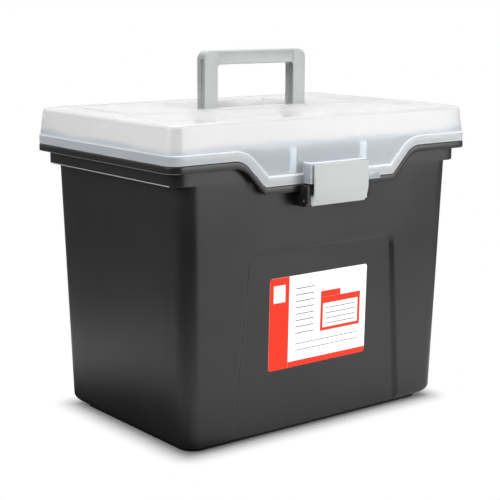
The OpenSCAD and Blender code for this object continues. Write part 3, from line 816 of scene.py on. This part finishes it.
# along its edges the plastic gathers light and shows whiter, and along the lid's two sides its edges are
# painted darker as shade
edge_plastic = milky("milky_edge_plastic", (0.94, 0.955, 0.97), (0.96, 0.965, 0.975), 0.20, 0.12,
                     at_sides=(0.63, 0.65, 0.67))[0]
# painted shade: the apron is painted darker and bluer, for the dark tub that shows through it
apron_plastic = milky("milky_apron_plastic", (0.73, 0.775, 0.815), (0.745, 0.79, 0.83), 0.22, 0.62)[0]
# the lip, painted darker along the lid's two sides as shade
lip_plastic = milky("milky_lip_plastic", (0.83, 0.85, 0.87), (0.85, 0.865, 0.88), 0.22, 0.55,
                    at_sides=(0.69, 0.71, 0.73))[0]
# the ribs glow a little where they are seen through the apron
rib_plastic, tree, shader = milky(
    "milky_rib_plastic", (0.86, 0.89, 0.92), (0.88, 0.905, 0.93), 0.20, 0.12)
through = tree.nodes.new("ShaderNodeLightPath").outputs["Is Transmission Ray"]
tree.links.new(blend(tree, through, (0.0, 0.0, 0.0), (0.88, 0.93, 1.0)), shader.inputs["Emission Color"])
shader.inputs["Emission Strength"].default_value = 0.5

lid = lid_shell()
lid_plastics = (clear_plastic, edge_plastic, apron_plastic, lip_plastic, rib_plastic)
for material in lid_plastics:
    lid.data.materials.append(material)

# the catch that the latch closes over, hollow from behind and below, with the ledge for the hook
catch_half, catch_front, catch_back, catch_low, catch_high = 33.3, -123.5, -112.1, 233.4, 252.4
hollow_back, snap_in, snap_proud, ledge_low, ledge_high = -105.0, 6.0, 0.7, 241.6, 244.6
catch = block(-catch_half, catch_half, catch_front, catch_back, catch_low, catch_high, 1.0, 3, EDGE)
for face in catch.data.polygons:
    if face.center.y < (catch_front + 2) * MM and abs(face.normal.z) < 0.1:
        face.material_index = CLEAR
for material in lid_plastics:
    catch.data.materials.append(material)
hollow = block(-catch_half + lid_t, catch_half - lid_t, catch_front + lid_t, hollow_back,
               catch_low - 6, catch_high - lid_t, 0.5, edge_material=EDGE)
ledge = block(-catch_half + snap_in, catch_half - snap_in, catch_front - snap_proud, catch_front + 0.9,
              ledge_low, ledge_high, edge_material=EDGE)
combine(catch, [hollow], "DIFFERENCE")
combine(catch, [ledge], "UNION")

# bearings for the handle, ribs in the apron, hinge knuckles and the tab beside the latch. The
# real ribs are moulded to the apron. Here each one is a block of its own, rib_gap behind it and
# not joined to it, because joined ribs showed through the plastic only as thin, broken lines
axis_y, axis_z, stub_r, stub_l, stub_gap = 6.5, 287.7, 2.5, 4.3, 0.06
rib_x, rib_half, rib_gap, rib_low, rib_high = 41.5, 1.1, 0.05, 242.9, 265.6
rib_front = lid_in + lid_t + rib_gap - rim_d / 2
lid_knuckle_half, lid_bore_r = 10.0, 2.26
knuckle_root_y, knuckle_root_low, knuckle_root_high = rim_d / 2 - lid_in, 258.6, 262.6
lid_knuckle = ([(knuckle_root_y, knuckle_root_low), (knuckle_root_y, knuckle_root_high)]
               + arc(hinge_y, hinge_z, knuckle_r, 88, -176, 24))
tab_left, tab_right, tab_low, tab_step, tab_high = 38.3, 57.3, 231.3, 233.6, 237.2
tab_plate, tab_root = (-115.6, -114.3), (-115.2, -113.4)
parts, cuts = [catch], []
for side in (-1, 1):
    x0, x1 = sorted((side * (bed_half + 1.0), side * (bed_half + stub_l + lid_t)))
    parts.append(rod(x0, x1, axis_y, axis_z, stub_r + lid_t - 0.05, 0.4))
    x0, x1 = sorted((side * (bed_half - 1), side * (bed_half + stub_l)))
    cuts.append(rod(x0, x1, axis_y, axis_z, stub_r + stub_gap))
    rib = block(side * rib_x - rib_half, side * rib_x + rib_half, rib_front, hollow_back,
                rib_low, rib_high, 0)
    for face in rib.data.polygons:
        face.material_index = RIB
    parts.append(rib)
    middle = side * hinge_x
    parts.append(prism(lid_knuckle, "x", middle - lid_knuckle_half, middle + lid_knuckle_half, 0.4))
    cuts.append(rod(middle - lid_knuckle_half - 2, middle + lid_knuckle_half + 2, hinge_y, hinge_z,
                    lid_bore_r))
parts.append(block(tab_left, tab_right, *tab_plate, tab_low, tab_high, 0.35, edge_material=EDGE))
parts.append(block(tab_left, tab_right, *tab_root, tab_step, tab_high, 0.2, edge_material=EDGE))
combine(lid, parts, "UNION")
combine(lid, cuts, "DIFFERENCE")

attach(lid, "lid_body")
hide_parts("lid")


# ---------------------------------------------------------------- Organiser tray
# A shallow moulding in the same milky plastic, with a lip that lies on the tub's bead. It holds
# small office items in seven compartments, and lifts out once the lid is open.

tray_plastic = milky("milky_tray_plastic", (0.75, 0.74, 0.73), (0.77, 0.76, 0.75), 0.38, 0.3)[0]
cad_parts["organiser_tray"].material_slots[0].material = tray_plastic


# ---------------------------------------------------------------- Carry handle
# A bail handle in light grey plastic, in one piece with its two stub axles, which snap into the
# bearings in the lid. A groove runs down the outer and the inner side of each leg.

handle_half, leg_w, handle_front, handle_back = 60.6, 15.3, -3.0, 9.5
handle_top, grip_h, handle_r, grip_r = axis_z + 57.6, 12.8, 8.0, 3.0
inner_half, foot_half = handle_half - leg_w, 3.0
groove_half, groove_deep, groove_low, groove_high = 2.5, 2.1, 292.0, 337.5
groove_front, groove_back = handle_front + 1.1, handle_front + 5.9
grip_step, grip_low, grip_high = 0.5, handle_top - grip_h + 0.9, handle_top - 1.5
outline = (
    [(handle_half, axis_z)]
    + arc(handle_half - handle_r, handle_top - handle_r, handle_r, 0, 90)
    + arc(-handle_half + handle_r, handle_top - handle_r, handle_r, 90, 180)
    + [(-handle_half, axis_z), (-inner_half, axis_z)]
    + arc(-inner_half + grip_r, handle_top - grip_h - grip_r, grip_r, 180, 90, 6)
    + arc(inner_half - grip_r, handle_top - grip_h - grip_r, grip_r, 90, 0, 6)
    + [(inner_half, axis_z)]
)
handle = prism(outline, "y", handle_front, handle_back, 0.9, 3)
handle.name = handle.data.name = "bail_handle"
foot = (
    [(handle_front, axis_z - foot_half), (axis_y, axis_z - foot_half)]
    + arc(axis_y, axis_z, foot_half, -85, 90)
    + [(handle_front, axis_z + foot_half)]
)
feet, grooves = [], []
for side in (-1, 1):
    x0, x1 = sorted((side * inner_half, side * handle_half))
    feet.append(prism(foot, "x", x0, x1, 0.4))
    x0, x1 = sorted((side * (handle_half - 1), side * (handle_half + stub_l)))
    feet.append(rod(x0, x1, axis_y, axis_z, stub_r, 0.4))
    for middle in (handle_half + groove_half - groove_deep, inner_half - groove_half + groove_deep):
        grooves.append(block(side * middle - groove_half, side * middle + groove_half,
                             groove_front, groove_back, groove_low, groove_high, 0.6))
# the grip's front face is set back a little between the legs
grooves.append(block(-inner_half, inner_half, handle_front - 2, handle_front + grip_step,
                     grip_low, grip_high))
combine(handle, feet, "UNION")
combine(handle, grooves, "DIFFERENCE")

grey_plastic, tree, shader = plastic(
    "light_grey_plastic", (0.48, 0.502, 0.486), (0.515, 0.538, 0.52),
    fineness=1100, roughness=0.46, unevenness=0.10, rubs=0.12, bump=0.16)
# painted shade: faces that look sideways, the sides of the legs, are painted a darker tone
shaded_sides = maths(tree, "ABSOLUTE", towards(tree, place_on(tree, "Normal"), (1, 0, 0)))
tint(tree, shader, ramp(tree, shaded_sides, 0.55, 0.95), (0.31, 0.327, 0.316))
handle.data.materials.clear()
handle.data.materials.append(grey_plastic)
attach(handle, "handle_body")
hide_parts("handle")


# ---------------------------------------------------------------- Latch
# A plate in the same light grey plastic. It turns on a steel pin between the tub's ears, and the
# rib on its back snaps over the ledge of the lid's catch. Its foot bends in towards the tub.

latch_half, plate_y, latch_t, plate_high = 31.8, -127.5, 2.0, 250.6
bend_y, bend_z, bend_r, bend_h = -101.5, 229.0, 26.0, 15.2
fall = math.degrees(math.asin(bend_h / bend_r))
profile = (
    [(plate_y + latch_t, plate_high), (plate_y, plate_high)]
    + arc(bend_y, bend_z, bend_r, 180, 180 + fall, 14)
    + arc(bend_y, bend_z, bend_r - latch_t, 180 + fall, 180, 14)
)
latch = prism(profile, "x", -latch_half, latch_half, 0.5, 3)
latch.name = latch.data.name = "latch_plate"
reach, knuckle_w, latch_knuckle_r, latch_bore_r = 33.5, 11.0, 3.6, 1.56
hook_low, hook_high = 245.2, 248.2
hooks = [block(-latch_half + snap_in, latch_half - snap_in, plate_y + latch_t - 0.8,
               plate_y + latch_t + snap_proud, hook_low, hook_high)]
for x in (-reach, -knuckle_w / 2, reach - knuckle_w):
    hooks.append(rod(x, x + knuckle_w, pivot_y, pivot_z, latch_knuckle_r, 0.4))
    hooks.append(block(x + 0.3, x + knuckle_w - 0.3, plate_y + 3.4, pivot_y,
                       pivot_z - latch_knuckle_r + 1.0, pivot_z + latch_knuckle_r - 0.3))
combine(latch, hooks, "UNION")
combine(latch, [rod(-reach - 1, reach + 1, pivot_y, pivot_z, latch_bore_r)], "DIFFERENCE")
latch_plastic = plastic(
    "latch_grey_plastic", (0.60, 0.615, 0.60), (0.63, 0.645, 0.628),
    fineness=1100, roughness=0.40, unevenness=0.10, rubs=0.12, bump=0.16)[0]
latch.data.materials.clear()
latch.data.materials.append(latch_plastic)
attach(latch, "latch_body")
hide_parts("latch")


# ---------------------------------------------------------------- Pins
# Three lengths of bright drawn wire: one through the latch's knuckles and one in each hinge. The
# outer knuckles hold them, and the piece between turns on them.

drawn_wire, tree, shader = new_material("drawn_steel_wire")
lines = noise(tree, stretched(tree, place_on(tree), (20, 4000, 4000)), 1, 3)
shader.inputs["Metallic"].default_value = 1
tree.links.new(blend(tree, lines, (0.52, 0.52, 0.52), (0.70, 0.70, 0.69)), shader.inputs["Base Color"])
tree.links.new(ramp(tree, lines, 0.3, 0.7, 0.22, 0.38), shader.inputs["Roughness"])
relief(tree, shader, lines, 0.2, 0.0001)

# One tree draws every wire: a cylinder along X whose flat ends are raised to domes.
wire_tree, given, result = new_group(
    "domed_wire",
    [("Middle", "Vector"), ("Length", "Float"), ("Radius", "Float"), ("Dome", "Float"),
     ("Finish", "Material")],
    [("Wire", "Geometry")],
    "GeometryNodeTree",
)
cylinder = wire_tree.nodes.new("GeometryNodeMeshCylinder")
cylinder.inputs["Vertices"].default_value = 40
cylinder.inputs["Fill Segments"].default_value = 6
straight = maths(wire_tree, "SUBTRACT", given["Length"], maths(wire_tree, "MULTIPLY", given["Dome"], 2))
wire_tree.links.new(given["Radius"], cylinder.inputs["Radius"])
wire_tree.links.new(straight, cylinder.inputs["Depth"])
point = wire_tree.nodes.new("ShaderNodeSeparateXYZ")
wire_tree.links.new(wire_tree.nodes.new("GeometryNodeInputPosition").outputs[0], point.inputs[0])
out_square = maths(wire_tree, "ADD", maths(wire_tree, "POWER", point.outputs["X"], 2),
                   maths(wire_tree, "POWER", point.outputs["Y"], 2))
share = maths(wire_tree, "DIVIDE", out_square, maths(wire_tree, "POWER", given["Radius"], 2))
rise = maths(wire_tree, "SQRT", maths(wire_tree, "SUBTRACT", 1, share, clamp=True))
rise = maths(wire_tree, "MULTIPLY", rise, given["Dome"])
lift = wire_tree.nodes.new("ShaderNodeCombineXYZ")
wire_tree.links.new(
    maths(wire_tree, "MULTIPLY", rise, maths(wire_tree, "SIGN", point.outputs["Z"])), lift.inputs["Z"])
domed = wire_tree.nodes.new("GeometryNodeSetPosition")
wire_tree.links.new(cylinder.outputs["Mesh"], domed.inputs["Geometry"])
wire_tree.links.new(lift.outputs[0], domed.inputs["Offset"])
laid = wire_tree.nodes.new("GeometryNodeTransform")
laid.inputs["Rotation"].default_value = (0, math.pi / 2, 0)
wire_tree.links.new(domed.outputs[0], laid.inputs["Geometry"])
wire_tree.links.new(given["Middle"], laid.inputs["Translation"])
realized = wire_tree.nodes.new("GeometryNodeRealizeInstances")
wire_tree.links.new(laid.outputs[0], realized.inputs[0])
finished = wire_tree.nodes.new("GeometryNodeSetMaterial")
wire_tree.links.new(realized.outputs[0], finished.inputs["Geometry"])
wire_tree.links.new(given["Finish"], finished.inputs["Material"])
wire_tree.links.new(finished.outputs[0], result["Wire"])


def drawn(name, tree, values):
    """Runs a geometry tree once with the given inputs and keeps the result as a plain mesh."""
    piece = bpy.data.objects.new(name, bpy.data.meshes.new(name))
    scene.collection.objects.link(piece)
    step = piece.modifiers.new(name, "NODES")
    step.node_group = tree
    for socket in tree.interface.items_tree:
        if socket.item_type == "SOCKET" and socket.in_out == "INPUT":
            step[socket.identifier] = values[socket.name]
    settle(piece)
    return piece


latch_pin_r, hinge_pin_r, dome_share = 1.5, 2.2, 0.4
for name, x, half, y, z, r in (
    ("latch_pin", 0, ear_in + ear_t, pivot_y, pivot_z, latch_pin_r),
    ("hinge_pin_left", -hinge_x, hinge_half, hinge_y, hinge_z, hinge_pin_r),
    ("hinge_pin_right", hinge_x, hinge_half, hinge_y, hinge_z, hinge_pin_r),
):
    wire = drawn(name + "_wire", wire_tree, {
        "Middle": (x * MM, y * MM, z * MM), "Length": 2 * half * MM, "Radius": r * MM,
        "Dome": r * dome_share * MM, "Finish": drawn_wire})
    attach(wire, "tub_body")
    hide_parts(name)


# ---------------------------------------------------------------- Label
# A printed film label on the sunken front panel, white with orange-red fields and thin grey
# ruled lines. Its design is a plain one of this part's own, with no lettering.

label_x, label_up, label_half_x, label_half_z = -2.5, 105.0, 58.5, 43.0
label_print, tree, shader = new_material("printed_label")
place = place_on(tree)
# millimetres from the label's middle, across it and up the leaning wall
wall_angle = math.atan(wall_lean / ledge_z)
across = maths(tree, "SUBTRACT", towards(tree, place, (1 / MM, 0, 0)), label_x)
upwards = maths(tree, "SUBTRACT", towards(tree, place, (0, 0, 1 / MM / math.cos(wall_angle))), label_up)


def band(value, low, high, soft=0.15):
    """1 where value lies between low and high, in millimetres, with a printed edge."""
    return maths(tree, "MULTIPLY", ramp(tree, value, low - soft, low + soft),
                 ramp(tree, value, high - soft, high + soft, 1, 0))


def field(x0, x1, z0, z1):
    """1 on a rectangle of the label."""
    return maths(tree, "MULTIPLY", band(across, x0, x1), band(upwards, z0, z1))


def any_of(fields):
    """1 where at least one of the fields lies."""
    total = fields[0]
    for one in fields[1:]:
        total = maths(tree, "MAXIMUM", total, one)
    return total


stripe_end, strip_top = -36, -37.5
red_fields = any_of([
    field(-label_half_x, stripe_end, -label_half_z, label_half_z),
    field(stripe_end, label_half_x, -label_half_z, strip_top),
    field(2, 26, 18, 24),
    field(2, 51, -14, 18),
])
white_cut = any_of([field(-54, -40.5, 20, 36), field(5, 48, -11, 12)])
grey_lines = any_of(
    [field(-28, -6, z, z + 0.9) for z in range(-12, 31, 6)]
    + [field(-28, 50, z, z + 0.7) for z in (-28, -22)]
    + [field(8, 45, z, z + 0.8) for z in range(-8, 8, 5)]
)
fleck = noise(tree, place, 2600)
flecked = ramp(tree, fleck, 0.3, 0.7)
film_white = blend(tree, flecked, (0.90, 0.895, 0.89), (0.945, 0.94, 0.935))
ink_red = blend(tree, flecked, (0.75, 0.030, 0.009), (0.80, 0.037, 0.012))
ink_grey = blend(tree, flecked, (0.16, 0.16, 0.17), (0.20, 0.20, 0.21))
printed = blend(tree, red_fields, film_white, ink_red)
printed = blend(tree, white_cut, printed, film_white)
printed = blend(tree, grey_lines, printed, ink_grey)
tree.links.new(printed, shader.inputs["Base Color"])
tree.links.new(ramp(tree, fleck, 0.3, 0.7, 0.5, 0.6), shader.inputs["Roughness"])
shader.inputs["Specular IOR Level"].default_value = 0.2
# painted light: the print glows a little, which makes the label brighter
tree.links.new(printed, shader.inputs["Emission Color"])
shader.inputs["Emission Strength"].default_value = 0.23
relief(tree, shader, fleck, 0.12, 0.0001)
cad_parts["label"].material_slots[0].material = label_print
